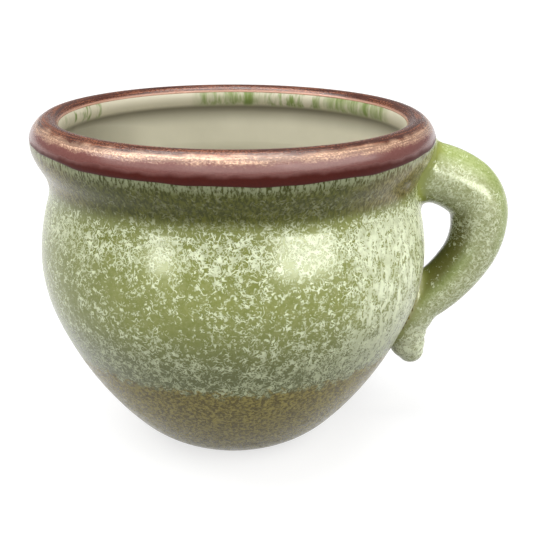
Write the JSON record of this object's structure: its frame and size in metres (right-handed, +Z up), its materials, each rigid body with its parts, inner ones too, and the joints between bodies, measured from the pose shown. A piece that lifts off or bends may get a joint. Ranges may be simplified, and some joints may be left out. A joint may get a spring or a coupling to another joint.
{
  "type": "herbal medicine pot",
  "caption": "Round-bellied glazed clay pot with a rolled brown rim, a narrow foot and one thick coil handle at the side, open at the top.",
  "frame": {"origin": "centre of the foot ring, on the surface the pot stands on", "axes": "+Z up along the pot's axis, +X towards the handle, XZ is the plane of symmetry"},
  "size_m": [0.1815, 0.15, 0.1269],
  "materials": {
    "bare_clay": "fired stoneware clay, bare on the foot",
    "handle_clay": "fired stoneware clay under glaze",
    "slip": "smoothed slip with pooled green glaze",
    "green_glaze": "glossy yellow-green glaze with pale crystals, beige low down",
    "rim_glaze": "glossy red-brown glaze with golden streaks",
    "liner_glaze": "satin cream glaze, green streaks near the rim"
  },
  "bodies": {
    "root": {"clay_body": "bare_clay", "handle": "handle_clay", "upper_luting": "slip", "lower_luting": "slip", "green_glaze": "green_glaze", "rim_glaze": "rim_glaze", "liner_glaze": "liner_glaze"}
  },
  "joints": []
}
